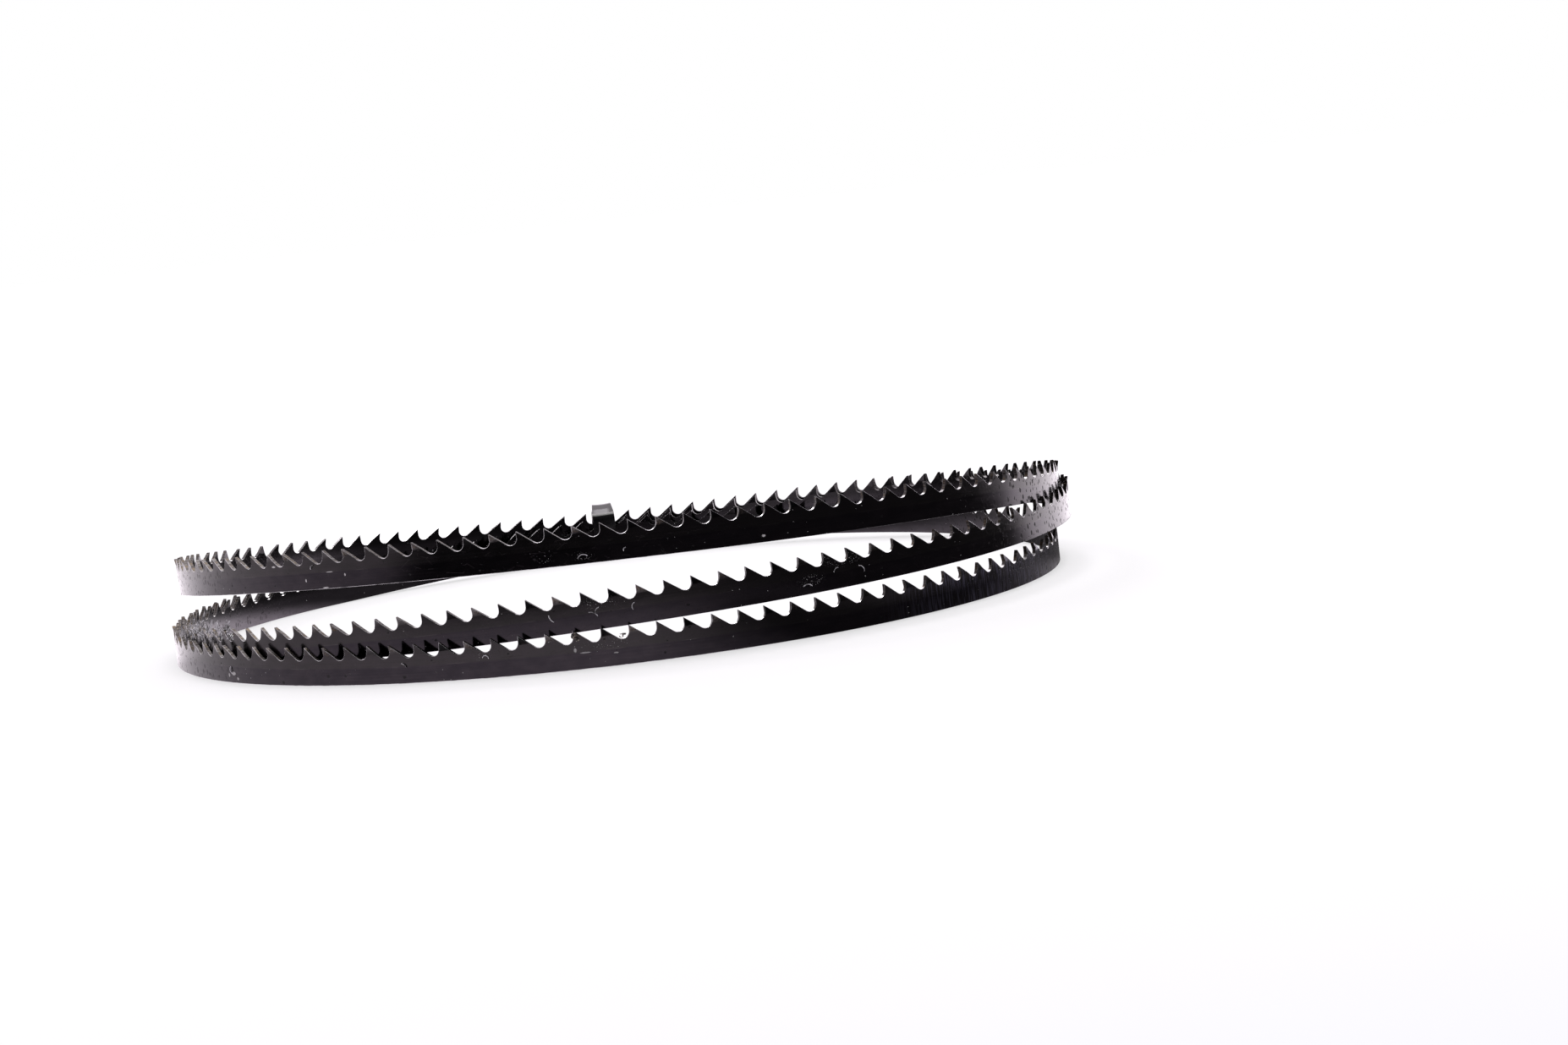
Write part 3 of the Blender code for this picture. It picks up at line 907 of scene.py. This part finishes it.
def put_on_strip(piece, along, outwards, height, turn=0):
    """Moves a piece's mesh to a place on the strip, and turns it about the upright."""
    place = Vector(on_strip([along], [outwards], [height])[0])
    piece.data.transform(Matrix.Translation(place) @ Matrix.Rotation(math.radians(turn), 4, "Z"))
    bpy.ops.object.select_all(action="DESELECT")


swarf_parts = []
for along, outwards, height, curl, turn in CHIPS:
    bpy.ops.mesh.primitive_plane_add(size=THICKNESS)
    chip = bpy.context.object
    edit(lambda: curl_chip(curl))
    wall = chip.modifiers.new("wall", "SOLIDIFY")
    wall.thickness = CHIP_THICKNESS
    bpy.ops.object.modifier_apply(modifier="wall")
    put_on_strip(chip, along, outwards, height, turn)
    swarf_parts.append(chip)
for number, (along, outwards, height, radius) in enumerate(LUMPS):
    bpy.ops.mesh.primitive_ico_sphere_add(subdivisions=3, radius=radius)
    lump = bpy.context.object
    uneven = radius * LUMP_ROUGHNESS
    edit(lambda: bpy.ops.transform.vertex_random(offset=uneven, seed=number, normal=0.6))
    put_on_strip(lump, along, outwards, height)
    swarf_parts.append(lump)
for piece in swarf_parts:
    piece.select_set(True)
bpy.context.view_layer.objects.active = swarf_parts[0]
bpy.ops.object.join()
swarf = bpy.context.object
swarf.name = "swarf"
bpy.ops.object.shade_smooth_by_angle(angle=math.radians(40))
bpy.ops.object.select_all(action="DESELECT")

OIL = (0.020, 0.017, 0.015, 1)
CRUMB = (0.42, 0.38, 0.33, 1)
oily = Sheet(bpy.data.materials.new("oily_swarf"))
swarf.data.materials.clear()
swarf.data.materials.append(oily.owner)
crumbs = oily.add("TexNoise", Vector=oily.add("TexCoord", out="Object"), Scale=5200.0, Detail=2.0)
shade = oily.blend(crumbs.rise(0.52, 0.62), OIL, CRUMB)
shine = crumbs.rise(0.50, 0.60)
relief = oily.add("Bump", Strength=0.5, Distance=0.00005, Height=crumbs)
oily.finish(oily.add(
    "BsdfPrincipled", Base_Color=shade, Metallic=shine, Roughness=0.35, Normal=relief,
))
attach(swarf, "root")
